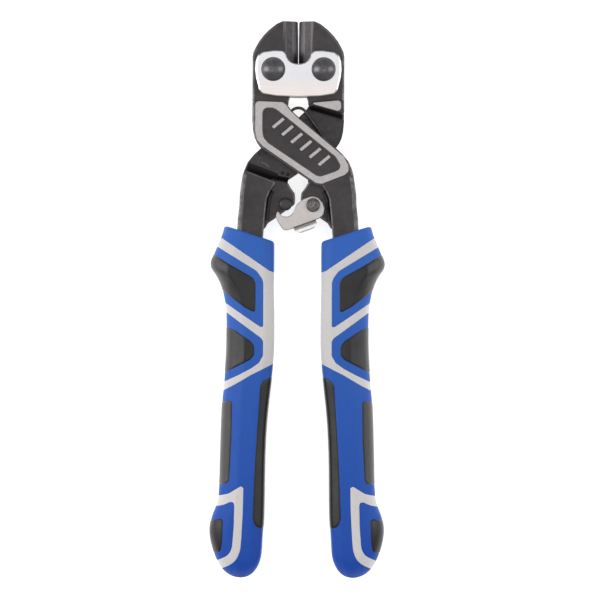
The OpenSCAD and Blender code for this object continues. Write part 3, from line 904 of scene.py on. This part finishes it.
def thumb_tab():
    """The pressed tab: a sheet bent up out of the plate's lower edge, with
    rounded corners and a rolled lip."""
    path = [(1.7, 0.95), (0.75, 0.95), (0.3, 1.05), (0.0, 1.35), (-0.2, 1.85), (-0.36, 2.4),
            (-0.55, 2.85), (-0.85, 3.08), (-1.2, 3.18), (-1.55, 3.22), (-1.9, 3.24),
            (-2.15, 3.23), (-2.35, 3.2), (-2.48, 3.16), (-2.54, 3.13)]
    path = [np.array(p) for p in path]
    half_t, width, nu = 0.46, 8.7, 20
    rows_top, rows_bot = [], []
    length = [0.0]
    for a, b in zip(path, path[1:]):
        length.append(length[-1] + float(np.linalg.norm(b - a)))
    total = length[-1]
    for i, p in enumerate(path):
        d = path[min(i + 1, len(path) - 1)] - path[max(i - 1, 0)]
        d = d / np.linalg.norm(d)
        nrm = np.array([-d[1], d[0]])
        if nrm[1] < 0:
            nrm = -nrm
        s = total - length[i]
        cut = 2.5 * (1 - math.sqrt(max(0.0, 1 - (1 - s / 1.5) ** 2))) if s < 1.5 else 0.0
        half_w = width / 2 - cut
        th = half_t * (0.82 if i == len(path) - 1 else 1.0)
        xs = [half_w * math.sin(math.pi / 2 * (2 * k / nu - 1)) for k in range(nu + 1)]
        rows_top.append([(x, p + nrm * th) for x in xs])
        rows_bot.append([(x, p - nrm * th) for x in xs])
    verts, faces = [], []
    for rows in (rows_top, rows_bot):
        for r in rows:
            for x, q in r:
                verts.append((x, q[0], q[1]))
    w, n = nu + 1, len(path)
    off = n * w
    for i in range(n - 1):
        for k in range(nu):
            a, b, c, d = i * w + k, i * w + k + 1, (i + 1) * w + k + 1, (i + 1) * w + k
            faces.append((a, b, c, d))
            faces.append((off + d, off + c, off + b, off + a))
    for k in range(nu):
        faces.append((k + 1, k, off + k, off + k + 1))
        a = (n - 1) * w + k
        faces.append((a, a + 1, off + a + 1, off + a))
    for i in range(n - 1):
        a, d = i * w, (i + 1) * w
        faces.append((a, d, off + d, off + a))
        a, d = i * w + nu, (i + 1) * w + nu
        faces.append((d, a, off + a, off + d))
    ob = obj("t", verts, faces)
    bm = bmesh.new()
    bm.from_mesh(ob.data)
    bmesh.ops.recalc_face_normals(bm, faces=bm.faces)
    bm.to_mesh(ob.data)
    bm.free()
    m = ob.modifiers.new("v", "BEVEL")
    m.width, m.segments, m.limit_method, m.angle_limit = 0.14 * MM, 2, "ANGLE", math.radians(50)
    me = evaluated(ob)
    ob.modifiers.clear()
    ob.data = me
    turn = Matrix.Rotation(math.radians(8), 4, "Z")
    ob.data.transform(Matrix.Translation((1.15 * MM, 28.75 * MM, 0)) @ turn)
    return ob


latch = prism("latch_pressing", arcs(LATCH, LATCH_R, 7), 0, 1.9, 0.42, 0.25, 4)
boolean(latch, thumb_tab())
drill(latch, LATCH_AT[0], LATCH_AT[1], 1.95)
tidy(latch, 34)


def latch_face(p):
    """1 for the burnished lip, 2 for the bend under it, painted dark as shade, 0 for the plate."""
    x, y, z = (v / MM for v in p.center)
    if not (-4.2 < x < 6.6 and y < 29.6 + 0.14 * (x - 1.15)):
        return 0
    if z > 1.95 or y < 27.5 + 0.14 * (x - 1.15):
        # painted shade: steep faces of the tab get the dark bend material, faces turned up get the lip
        return 1 if abs(p.normal[2]) > 0.62 else 2
    return 0


paint(latch, ZINC, TAB, BEND_SHADE, pick=latch_face)
pivot_at = Matrix.Translation((LATCH_AT[0] * MM, LATCH_AT[1] * MM, 0))
latch.data.transform(pivot_at @ Matrix.Rotation(STORED, 4, "Z") @ pivot_at.inverted())
latch.data.transform(Matrix.Translation((0, 0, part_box("latch")[0][2])))
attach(latch, "latch")
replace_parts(latch, "latch")

# latch rivet: flat head with a rolled rim and a struck middle, closed behind
z_low, z_high = (float(v[2]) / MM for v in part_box("latch_rivet"))
lz = [z_low, z_high]
prof = [(1e-9, lz[0] + 0.12), (1.2, lz[0] + 0.1), (2.3, lz[0]), (2.6, lz[0] + 0.25),
        (2.6, lz[0] + 0.8), (1.9, lz[0] + 0.85), (1.9, lz[1] - 0.95),
        (2.55, lz[1] - 0.93), (2.55, lz[1] - 0.4), (2.42, lz[1] - 0.14), (2.15, lz[1] - 0.02),
        (1.9, lz[1] - 0.03), (1.72, lz[1] - 0.14), (1.5, lz[1] - 0.17), (1.1, lz[1] - 0.13),
        (0.7, lz[1] - 0.12), (0.35, lz[1] - 0.12), (1e-9, lz[1] - 0.12)]


def latch_mark(r, t, z):
    if r > 1.6 or z < lz[1] - 1:
        return 0.0
    return 0.06 * (1 - r / 1.6) ** 0.6 * (math.sin(3 * t + 1) + 0.8 * math.sin(5 * t - 5 * r))


pin = lathe("latch_rivet_headed", [(r, z) for r, z in prof], 64, bump=latch_mark)
pin.location = Vector((LATCH_AT[0], LATCH_AT[1], 0)) * MM
tidy(pin, 45, weighted=False)
paint(pin, PIN)
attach(pin, "right_handle")
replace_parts(pin, "latch_rivet")

# catch stud: a turned pin with a soft domed end
sz = [float(v[2]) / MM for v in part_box("catch_stud")]
prof = [(1e-9, sz[0] + 0.1), (1.2, sz[0] + 0.08), (1.6, sz[0] + 0.3), (1.6, sz[0] + 5.0),
        (2.28, sz[0] + 5.02), (2.4, sz[0] + 5.15), (2.4, sz[1] - 0.85), (2.32, sz[1] - 0.55),
        (2.1, sz[1] - 0.28), (1.7, sz[1] - 0.11), (1.1, sz[1] - 0.03), (0.5, sz[1] - 0.005),
        (1e-9, sz[1])]
stud = lathe("catch_stud_turned", prof, 64)
stud.location = Vector((STUD_AT[0], STUD_AT[1], 0)) * MM
tidy(stud, 40, weighted=False)
paint(stud, STUD)
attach(stud, "left_handle")
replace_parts(stud, "catch_stud")

# ------------------------------------------------------------------ spring


def spring_half(name, side):
    """One leg and its half of the bow, a flat strip with rounded edges."""
    c, r_mid, half_t, half_w = np.array([0.0, 67.6]), 3.35, 0.5, 1.5
    lean = math.radians(35.3)
    pts = []
    for k in range(17):
        a = math.pi / 2 - (math.pi / 2 - lean) * k / 16
        pts.append(c + r_mid * np.array([math.cos(a), math.sin(a)]))
    d = np.array([math.sin(lean), -math.cos(lean)])
    last = pts[-1]
    for k in range(1, 33):
        pts.append(last + d * 15.2 * k / 32)
    rings = []
    corner = [(-1, -0.72), (-0.72, -1), (0.72, -1), (1, -0.72), (1, 0.72), (0.72, 1),
              (-0.72, 1), (-1, 0.72)]
    for i, p in enumerate(pts):
        t = pts[min(i + 1, len(pts) - 1)] - pts[max(i - 1, 0)]
        if i == 0:
            t = np.array([1.0, 0.0])
        t = t / np.linalg.norm(t)
        nrm = np.array([-t[1], t[0]])
        ring = []
        for u, v in corner:
            q = p + nrm * u * half_t
            z = (v * half_w) if abs(v) == 1 else math.copysign(half_w - 0.13, v)
            ring.append((q[0] * side, q[1], MID + z))
        rings.append(np.array(ring if side > 0 else ring[::-1]))
    ob = rings_mesh(name, rings)
    tidy(ob, 50, weighted=False)
    paint(ob, SPRING)
    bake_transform(ob)
    return ob


half_right = spring_half("return_spring_right_leg", 1)
half_left = spring_half("return_spring_left_leg", -1)
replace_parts(half_right, "return_spring")
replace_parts(half_left, "return_spring")

# ------------------------------------------------------------------- grips

RAIL_OUT = [(27.25, 26.6), (28.0, 24.0), (29.0, 21.7), (29.8, 19.6), (30.9, 17.0), (31.9, 14.6),
            (32.15, 12.9), (31.7, 11.2), (30.0, 8.7), (28.5, 5.7), (27.6, 2.8), (27.0, -0.2),
            (26.5, -3.1), (26.3, -8), (26.25, -13), (26.3, -17.9), (26.6, -23.9),
            (27.1, -31), (27.75, -38), (28.1, -46), (28.4, -56), (28.6, -65), (28.95, -71.2),
            (29.4, -74.6), (30.25, -77.3), (31.35, -80.2), (32.05, -83.3), (32.2, -86),
            (31.85, -89), (31.15, -91.9), (30.2, -94.9), (28.9, -97.8), (27.0, -100.3),
            (24.7, -102.0), (22.4, -102.75), (20.7, -102.85)]
RAIL_IN = [(8.75, 20.6), (8.7, 18.5), (8.7, 16.2), (8.7, 13.4), (8.7, 10.6), (8.7, 8.0),
           (8.75, 5.0), (8.7, 2.8), (8.65, 0.5), (8.6, -2.0), (8.5, -5.0), (8.5, -8.0),
           (8.5, -11.0), (8.5, -13), (8.5, -15.5), (8.6, -18.9), (9.0, -24.5), (9.75, -31.5),
           (10.6, -39), (11.3, -46.8), (11.75, -56), (11.95, -65), (12.0, -71.2),
           (12.05, -74.6), (12.1, -77.3), (12.15, -80.2), (12.3, -83.3), (12.5, -86),
           (12.7, -89), (12.85, -91.9), (13.1, -94.9), (13.95, -97.8), (15.4, -100.3),
           (17.2, -101.95), (19.1, -102.7), (20.7, -102.85)]
TOP_Z = 9.87                        # base surface; the pads stand just proud of it

GREY_ZONES = [
    [[36, 28], [28.4, 22.8], [10.4, 10.5], [8.9, 10], [5, 10], [5, -22.6],
     [9, -23.8], [17.1, -27.9], [23.4, -31.6], [26.9, -33.4],
     [36, -38], [36, -34.5], [26.5, -30.2], [21.6, -27.9],
     [17.2, -25.6], [14.1, -23.4], [12.6, -20.7], [12.6, -15.4],
     [13.4, -14.2], [25.5, -5.4], [36, 2.3], [36, 5],
     [26.2, -1.7], [13.7, -10.2], [12.6, -10.2], [12.6, 6.2],
     [13.1, 7.7], [15, 10.4], [29.7, 19.4], [36, 23.2]],
    [[36, -74], [28.6, -72.4], [25.2, -71.7], [22.5, -70], [20.7, -68.9],
     [19.7, -69.4], [19.9, -78.5], [20.4, -87.9], [20.8, -92.5],
     [22.1, -95.9], [24.3, -97.8], [27.3, -99.3], [36, -103],
     [36, -99.5], [29.6, -96.6], [25.1, -94.3], [23.8, -91.7],
     [23.2, -84.2], [23, -76.2], [23.2, -74.9], [24.4, -74.6],
     [27.1, -75.8], [29.7, -76.4], [36, -77.6]]]
PAD_ZONES = {
    "upper_pad": [[36, 19.7], [24.8, 12.7], [17.3, 8.5], [15.7, 7], [15.4, 5],
                  [15.5, -4.5], [16.5, -4.6], [19.5, -3], [24.7, 0.8], [36, 9.5]],
    "middle_pad": [[36, -5.5], [25.8, -10.2], [22.8, -11.7], [17.2, -15.4],
                   [15.8, -17.2], [15.8, -20.4], [17.2, -22.2], [20.9, -24.1],
                   [24.6, -26], [36, -31]],
    "inner_strip": [[5, -25.6], [9.5, -28.7], [12.5, -30], [13.7, -32], [14, -37.9],
                    [14.5, -45.7], [15.4, -59.6], [15.9, -70.9], [16.3, -80.4],
                    [15.7, -82.7], [14.6, -84], [5, -86.8]],
    "outer_strip": [[36, -38.6], [27.2, -37.7], [24, -37.2], [24.2, -51.6],
                    [24.8, -63.5], [25, -66.8], [26, -68.1], [36, -68.6]],
    "end_pad": [[36, -82.5], [31.4, -81.5], [28.2, -80.8], [27.2, -81.5],
                [27.5, -89.7], [28.1, -93.2], [30.2, -93.6], [36, -95]]}


HOOK_R = [0, 5, 5, 3, 0.5, 0.5, 5, 8, 8, 7, 7, 7, 0, 0, 8, 5, 5, 8, 0.8, 0.8, 1.4, 5, 5, 0]
PAD_R = {"upper_pad": 0.6, "middle_pad": 2.2, "inner_strip": 1.6, "outer_strip": 1.0, "end_pad": 1.2}


def catmull(points, n):
    """n points at even spacing in the index along a smooth run through points."""
    p = np.array(points, float)
    p = np.vstack([2 * p[0] - p[1], p, 2 * p[-1] - p[-2]])
    out = []
    for v in np.linspace(0, len(points) - 1, n):
        i = min(int(v), len(points) - 2)
        t = v - i
        a, b, c, d = p[i], p[i + 1], p[i + 2], p[i + 3]
        out.append(0.5 * (2 * b + (c - a) * t + (2 * a - 5 * b + 4 * c - d) * t ** 2
                          + (3 * b - 3 * c + d - a) * t ** 3))
    return np.array(out)


def bspline(ctrl, ts):
    """Closed uniform cubic B-spline through its control points' pull."""
    n, out = len(ctrl), []
    for t in ts:
        i = int(math.floor(t)) % n
        u = t - math.floor(t)
        p = [ctrl[(i + k - 1) % n] for k in range(4)]
        out.append((p[0] * (1 - u) ** 3 + p[1] * (3 * u ** 3 - 6 * u ** 2 + 4)
                    + p[2] * (-3 * u ** 3 + 3 * u ** 2 + 3 * u + 1) + p[3] * u ** 3) / 6)
    return np.array(out)


def section(width, h, flare):
    """Control points of the grip's cross-section: x from 0, the inner side, to
    width, z to +-h. The faces are flat between two long chamfers."""
    k = min(1.0, width / 15.0, h / 9.0)
    s = lambda v: v * k
    w = width
    pts = [(0, 0), (0, s(2.2)), (0, s(4.2)), (s(0.06), h - s(3.7)), (s(0.3), h - s(2.6)),
           (s(0.75), h - s(1.75)), (s(1.35), h - s(1.3)), (s(2.1), h - s(0.88)), (s(2.9), h - s(0.44)),
           (s(3.5), h - s(0.12)), (s(4.1), h), (s(5.2), h),
           (w - s(9.4), h), (w - s(8.0), h), (w - s(7.2), h - s(0.02)), (w - s(6.5), h - s(0.22)),
           (w - s(5.7), h - s(0.58)), (w - s(4.9), h - s(0.94)), (w - s(4.1), h - s(1.3)),
           (w - s(3.2), h - s(1.78)), (w - s(2.1), h - s(2.6)), (w - s(1.15), h - s(3.6)),
           (w - s(0.45), h - s(5.0)), (w - s(0.08), h - s(6.6)), (w, s(1.3))]
    pts = [np.array(p, float) for p in pts]
    lower = [np.array([p[0], -p[1]]) for p in pts[:0:-1]]
    return np.array(pts + lower)


def section_params(m):
    ctrl = section(17.8, TOP_Z, 0)
    ts = np.linspace(0, len(ctrl), 1600, endpoint=False)
    c = bspline(ctrl, ts)
    seg = np.linalg.norm(np.roll(c, -1, 0) - c, axis=1)
    cum = np.concatenate([[0], np.cumsum(seg)])
    return np.interp(np.linspace(0, cum[-1], m, endpoint=False), cum[:-1], ts)


def grip_grid(rows=236, m=132):
    """Rings of points from the top of the right grip to its end."""
    a, b = catmull(RAIL_IN, 900), catmull(RAIL_OUT, 900)
    mid = (a + b) / 2
    cum = np.concatenate([[0], np.cumsum(np.linalg.norm(np.diff(mid, axis=0), axis=1))])
    # closer rings round the end
    want = np.concatenate([np.linspace(0, cum[-1] - 5, rows - 26, endpoint=False),
                           cum[-1] - 5 * (1 - np.sin(np.linspace(0, math.pi / 2, 26))) ])
    idx = np.interp(want, cum, np.arange(len(mid)))
    at = lambda arr: np.column_stack([np.interp(idx, np.arange(len(arr)), arr[:, k]) for k in (0, 1)])
    a, b = at(a), at(b)
    ts = section_params(m)
    rings = []
    left = cum[-1] - want
    for i in range(len(a)):
        d = b[i] - a[i]
        width = float(np.linalg.norm(d))
        if width > 0.3:
            across = d / width
        d, width = across, max(width, 0.06)
        h = TOP_Z
        s = left[i]
        if s < 9:
            h = TOP_Z * (1 - 0.56 * (1 - s / 9) ** 2.8)
        y = (a[i][1] + b[i][1]) / 2
        if y > 15:                   # the faces fall away a little to the top edge
            h -= 1.5 * ((y - 15) / 9) ** 2
        c = bspline(section(width, h, 0), ts)
        pts = np.column_stack([a[i][0] + d[0] * c[:, 0], a[i][1] + d[1] * c[:, 0],
                               MID + c[:, 1]])
        rings.append(pts)
    # roll the top rim over into the end face round the tang
    first = rings[0]
    mid0 = first.mean(0)
    up = np.array([-0.31, 0.95, 0.0])
    cap = []
    for dist, rise in ((0.22, 0.32), (0.6, 0.58), (1.15, 0.72), (2.2, 0.74), (3.6, 0.74), (4.5, 0.74)):
        v = mid0 - first
        ln = np.linalg.norm(v, axis=1)[:, None]
        cap.append(first + v / ln * dist + up * rise)
    return np.array(cap[::-1] + rings)


def normals(g):
    """Outward normals of a grid of rings (rows, points, 3)."""
    dv = np.gradient(g, axis=0)
    du = np.roll(g, -1, 1) - np.roll(g, 1, 1)
    n = np.cross(dv, du)
    ln = np.linalg.norm(n, axis=2)[:, :, None]
    n = n / np.maximum(ln, 1e-9)
    c = g.mean(1)[:, None, :]
    if np.sum(n * (g - c)) < 0:
        n = -n
    return n


def signed_distance(q, poly):
    """Distance of points q from a closed outline, negative inside."""
    d = np.full(len(q), 1e9)
    inside = np.zeros(len(q), bool)
    for i in range(len(poly)):
        a, b = poly[i - 1], poly[i]
        e, w = b - a, q - a
        t = np.clip((w @ e) / max(e @ e, 1e-12), 0, 1)
        d = np.minimum(d, np.linalg.norm(w - t[:, None] * e, axis=1))
        cond = (a[1] > q[:, 1]) != (b[1] > q[:, 1])
        with np.errstate(divide="ignore", invalid="ignore"):
            xi = (b[0] - a[0]) * (q[:, 1] - a[1]) / (b[1] - a[1]) + a[0]
        inside ^= cond & (q[:, 0] < xi)
    return np.where(inside, -d, d)


def split(verts, tris, col, value, snap=0.05):
    """Cuts triangles along verts[:, col] == value, adding points on the line."""
    g = verts[:, col] - value
    near = np.abs(g) < snap
    verts[near, col] = value
    g[near] = 0.0
    sgn = np.sign(g).astype(int)
    s = sgn[tris]
    cross = (s.max(1) == 1) & (s.min(1) == -1)
    keep = tris[~cross].tolist()
    extra, made = [], {}
    base = len(verts)

    def point(i, j):
        key = (i, j) if i < j else (j, i)
        if key not in made:
            gi, gj = g[key[0]], g[key[1]]
            t = gi / (gi - gj)
            v = verts[key[0]] * (1 - t) + verts[key[1]] * t
            v[col] = value
            made[key] = base + len(extra)
            extra.append(v)
        return made[key]

    for tri in tris[cross].tolist():
        sg = [int(sgn[v]) for v in tri]
        if 0 in sg:
            k = sg.index(0)
            a, b, c = tri[k], tri[(k + 1) % 3], tri[(k + 2) % 3]
            p = point(b, c)
            keep += [[a, b, p], [a, p, c]]
        else:
            k = next(i for i in range(3) if sg.count(sg[i]) == 1)
            a, b, c = tri[k], tri[(k + 1) % 3], tri[(k + 2) % 3]
            p, q = point(a, b), point(c, a)
            keep += [[a, p, q], [p, b, c], [p, c, q]]
    if extra:
        verts = np.vstack([verts, np.array(extra)])
    return verts, np.array(keep)


def grip_patches():
    """Splits the right grip's surface into its zones. Returns base points, their
    outward normals, the distance to the nearest zone edge and triangles by zone."""
    g = grip_grid()
    n = normals(g)
    rows, m = g.shape[:2]
    idx = np.arange(rows * m).reshape(rows, m)
    a, b = idx[:-1], np.roll(idx, -1, 1)[:-1]
    c, d = np.roll(idx, -1, 1)[1:], idx[1:]
    flip = (np.add.outer(np.arange(rows - 1), np.arange(m)) % 2).astype(bool)
    t1 = np.where(flip[..., None], np.stack([a, b, c], -1), np.stack([a, b, d], -1))
    t2 = np.where(flip[..., None], np.stack([a, c, d], -1), np.stack([b, c, d], -1))
    tris = np.concatenate([t1.reshape(-1, 3), t2.reshape(-1, 3)])
    p = g.reshape(-1, 3)
    nn = n.reshape(-1, 3)
    v0, v1, v2 = p[tris[:, 0]], p[tris[:, 1]], p[tris[:, 2]]
    face = np.cross(v1 - v0, v2 - v0)
    if np.sum(face * (nn[tris[:, 0]])) < 0:
        tris = tris[:, ::-1].copy()
    zones = [arcs(GREY_ZONES[0], 1.2, 12), arcs(GREY_ZONES[1], HOOK_R, 12)]
    zones += [arcs(z, PAD_R[k], 12) for k, z in PAD_ZONES.items()]
    fields = np.array([signed_distance(p[:, :2], z) for z in zones])
    near = fields.min(0)
    verts = np.column_stack([p, nn, near, fields.T])
    for value in (0.0, 0.32, -0.32, -0.75):
        verts, tris = split(verts, tris, 6, value)
    mid = verts[tris].mean(1)
    which = mid[:, 7:].argmin(1)
    label = np.where(mid[:, 6] < 0, which, -1)
    return verts, tris, label, rows, m


def solid(name, verts, tris, height, depth, mirror):
    """A closed skin: outer points raised by height along their normals, inner
    points sunk by depth, and walls round every open edge."""
    used = np.unique(tris)
    new = -np.ones(len(verts), int)
    new[used] = np.arange(len(used))
    t = new[tris]
    n = verts[used, 3:6] / np.maximum(np.linalg.norm(verts[used, 3:6], axis=1), 1e-9)[:, None]
    outer = verts[used, :3] + n * height[used][:, None]
    inner = verts[used, :3] - n * depth
    k = len(used)
    pts = np.vstack([outer, inner])
    pairs = np.concatenate([t[:, [0, 1]], t[:, [1, 2]], t[:, [2, 0]]])
    seen = {}
    for i, j in pairs.tolist():
        seen[(i, j)] = True
    rim = [(i, j) for (i, j) in seen if (j, i) not in seen]
    faces = t.tolist() + (t[:, ::-1] + k).tolist()
    faces += [[j, i, i + k, j + k] for i, j in rim]
    if mirror:
        pts = pts * [-1, 1, 1]
        faces = [f[::-1] for f in faces]
    ob = obj(name, pts, [tuple(f) for f in faces])
    for poly in ob.data.polygons:
        poly.use_smooth = True
    bm = bmesh.new()
    bm.from_mesh(ob.data)
    for e in bm.edges:
        e.smooth = len(e.link_faces) == 2 and e.calc_face_angle(0) < math.radians(48)
    bm.to_mesh(ob.data)
    bm.free()
    return ob


def step_up(near, points):
    return np.interp(near, [p[0] for p in points], [p[1] for p in points])


VERTS, TRIS, LABEL, ROWS, RING = grip_patches()
NEAR = VERTS[:, 6]
PAD_NAMES = list(PAD_ZONES)


def core_mesh(name, mirror):
    """The hard core under the skins, coarser, closed at both ends."""
    p = VERTS[:ROWS * RING, :3].reshape(ROWS, RING, 3)
    n = VERTS[:ROWS * RING, 3:6].reshape(ROWS, RING, 3)
    rows = [r for r in range(5, ROWS - 3) if r % 3 == 2]
    rings = [(p[r] - n[r] * 1.0)[::2] for r in rows]
    mids = [r.mean(0) for r in rings]
    out = [mids[0] + (rings[0] - mids[0]) * 0.3] + rings + [mids[-1] + (rings[-1] - mids[-1]) * 0.3]
    out = [r * ([-1, 1, 1] if mirror else [1, 1, 1]) for r in out]
    ob = rings_mesh(name, out)
    bm = bmesh.new()
    bm.from_mesh(ob.data)
    bmesh.ops.recalc_face_normals(bm, faces=bm.faces)
    for f in bm.faces:
        f.smooth = True
    bm.to_mesh(ob.data)
    bm.free()
    return ob


def join(a, b):
    bm = bmesh.new()
    bm.from_mesh(a.data)
    bm.from_mesh(b.data)
    bm.to_mesh(a.data)
    bm.free()
    bpy.data.objects.remove(b)
    return a


for hand, mirror in (("right", False), ("left", True)):
    body = hand + "_handle"
    blue_h = step_up(NEAR, [(-1, 0), (0, -0.05), (0.32, 0.0), (1, 0.0)])
    grey_h = step_up(NEAR, [(-0.75, 0.02), (-0.32, 0.01), (0, -0.05), (1, 0)])
    pad_h = step_up(NEAR, [(-0.75, 0.12), (-0.32, 0.08), (0, -0.05), (1, 0)])
    sleeve = solid(hand + "_grip_blue_sleeve", VERTS, TRIS[LABEL == -1], blue_h, 1.2, mirror)
    paint(sleeve, BLUE)
    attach(sleeve, body)
    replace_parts(sleeve, hand + "_grip_sleeve")
    stripes = solid("t", VERTS, TRIS[(LABEL == 0) | (LABEL == 1)], grey_h, 1.2, mirror)
    core = join(core_mesh(hand + "_grip_grey_core", mirror), stripes)
    paint(core, GREY)
    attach(core, body)
    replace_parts(core, hand + "_grip_core")
    for k, zone in enumerate(PAD_NAMES):
        piece = solid(hand + "_" + zone + "_rubber", VERTS, TRIS[LABEL == k + 2], pad_h, 1.2, mirror)
        paint(piece, BLACK)
        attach(piece, body)
        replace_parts(piece, hand + "_" + zone)

# ------------------------------------------------------- floor and lighting

floor = obj("studio_floor", [(-4000, -4000, 0), (4000, -4000, 0), (4000, 4000, 0), (-4000, 4000, 0)],
            [(0, 1, 2, 3)], place=(0, 0, -0.02))
fm = Mat("studio_floor_white", Roughness=0.9, Specular_IOR_Level=0.1)
fm.b.inputs["Base Color"].default_value = (0.9, 0.9, 0.9, 1)
fm.b.inputs["Emission Color"].default_value = (1, 1, 1, 1)
fm.b.inputs["Emission Strength"].default_value = 0.72
paint(floor, fm.m)

scene = bpy.context.scene
scene.view_settings.view_transform = "Standard"
world = bpy.data.worlds.new("studio")
scene.world = world
world.use_nodes = True
world.node_tree.nodes["Background"].inputs["Color"].default_value = (1, 1, 1, 1)
world.node_tree.nodes["Background"].inputs["Strength"].default_value = 0.36


def softbox(name, at, aim, sx, sy, radiance):
    li = bpy.data.lights.new(name, "AREA")
    li.shape, li.size, li.size_y = "RECTANGLE", sx, sy
    li.energy = radiance * math.pi * sx * sy
    ob = bpy.data.objects.new(name, li)
    scene.collection.objects.link(ob)
    ob.location = at
    ob.rotation_euler = (Vector(aim) - Vector(at)).to_track_quat("-Z", "Y").to_euler()
    ob.visible_camera = False
    return ob


softbox("overhead", (0, 0.06, 1.1), (0, 0.02, 0), 0.72, 0.72, 0.98)
softbox("left_box", (-0.86, 0.12, 0.6), (0, 0, 0), 0.52, 0.9, 3.3)
softbox("right_box", (0.86, 0.12, 0.6), (0, 0, 0), 0.52, 0.9, 2.1)

cam = bpy.data.cameras.new("camera")
cam.sensor_width = 36
cam.lens = 36 * 1.5 / 0.222
cam.clip_end = 20
cam_ob = bpy.data.objects.new("camera", cam)
scene.collection.objects.link(cam_ob)
cam_ob.location = (0.0009, -0.0002, 0.0125 + 1.5)
cam_ob.rotation_euler = (0, 0, math.radians(0.22))
scene.camera = cam_ob
